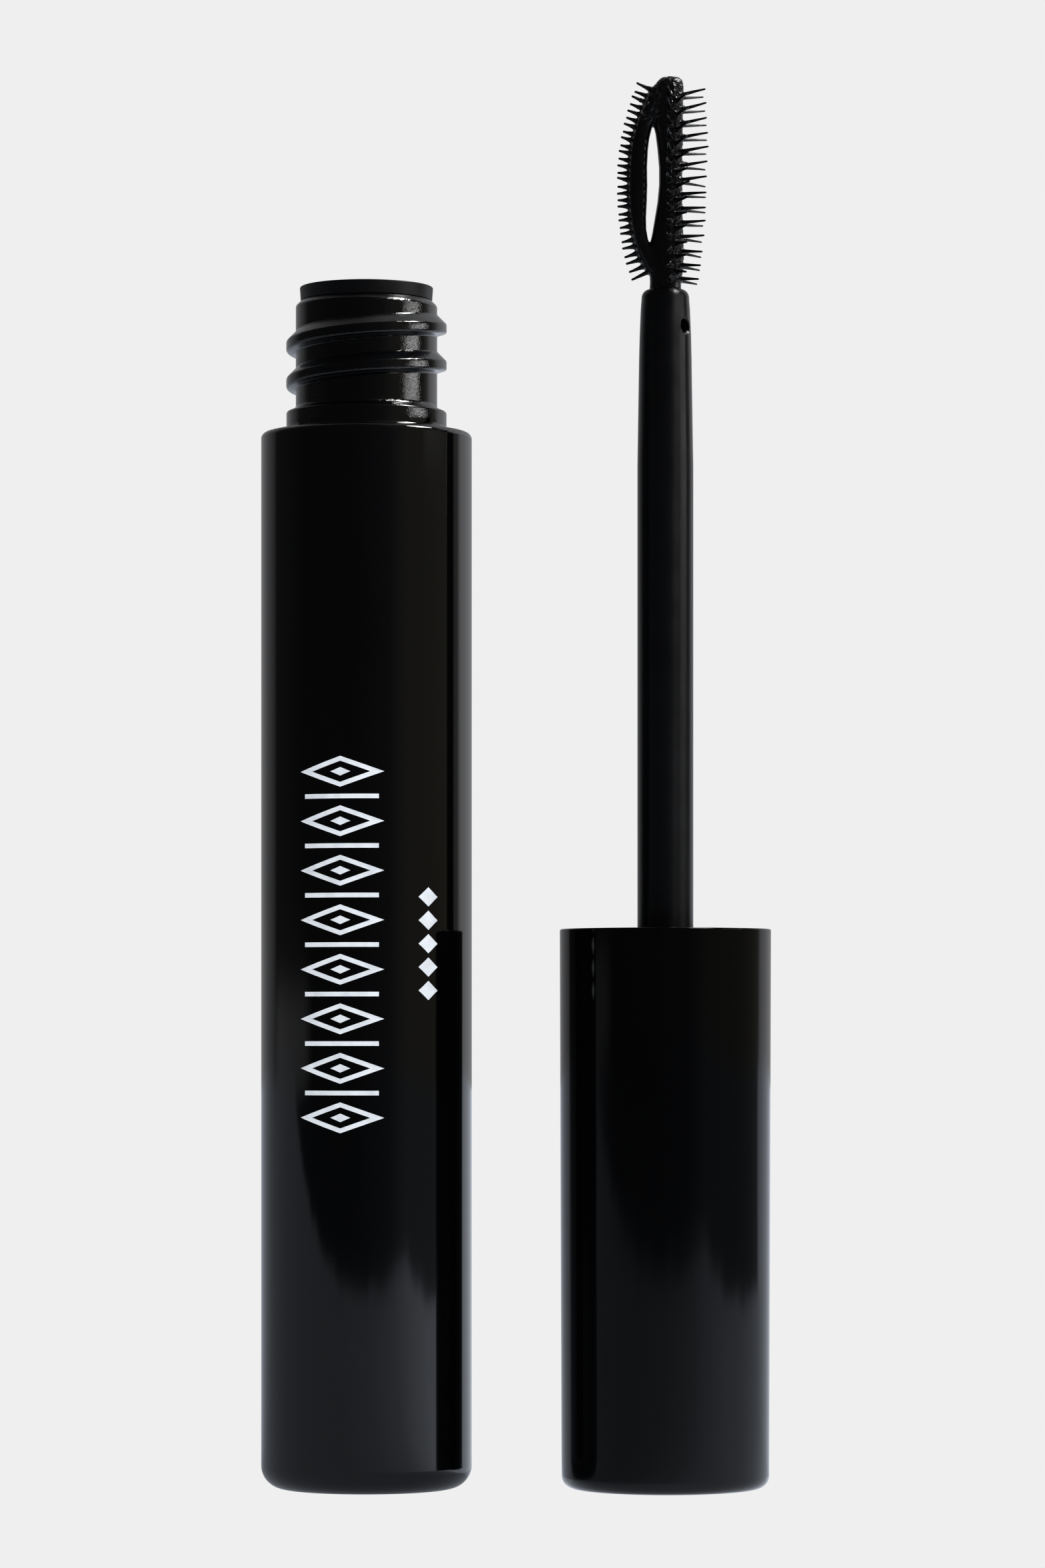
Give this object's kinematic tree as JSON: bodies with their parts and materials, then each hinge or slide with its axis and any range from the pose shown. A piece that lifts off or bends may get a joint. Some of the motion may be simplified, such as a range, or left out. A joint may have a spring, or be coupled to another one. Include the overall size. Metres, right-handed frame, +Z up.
{
  "type": "mascara tube",
  "caption": "Opened mascara: a tall cylindrical bottle with a threaded neck and wiper, and its screw cap with a stem and a slotted moulded brush, standing upside down beside it.",
  "frame": {"origin": "middle of the bottle's foot, on the surface that it stands on", "axes": "+Z up along the bottle; +X from the bottle to the applicator beside it; +Y away from the viewer, across both"},
  "size_m": [0.0387, 0.016, 0.1072],
  "materials": {
    "bottle_plastic": "polished black, moulded",
    "wiper_plastic": "soft satin black",
    "paste": "thick wet black paste",
    "cap_plastic": "polished black, moulded",
    "liner_plastic": "plain moulded black",
    "washer_rubber": "smooth matt",
    "stem_plastic": "satin black",
    "brush_elastomer": "satin black elastomer"
  },
  "bodies": {
    "bottle_group": {"bottle": "bottle_plastic", "wiper": "wiper_plastic", "mascara_formula": "paste"},
    "washer_link": {"sealing_washer": "washer_rubber"},
    "applicator": {"outer_cap": "cap_plastic", "inner_cap": "liner_plastic", "stem": "stem_plastic", "brush": "brush_elastomer"}
  },
  "joints": [
    {"name": "turn_over", "type": "hinge", "parent": "bottle_group", "child": "washer_link", "pos_m": [0.01135, 0, 0.1016], "axis": [0, -1, 0], "range_deg": [0, 180]},
    {"name": "cap_twist", "type": "hinge", "parent": "washer_link", "child": "applicator", "pos_m": [0.0227, 0, 0], "axis": [0, 0, 1], "range_deg": [0, 630]}
  ]
}
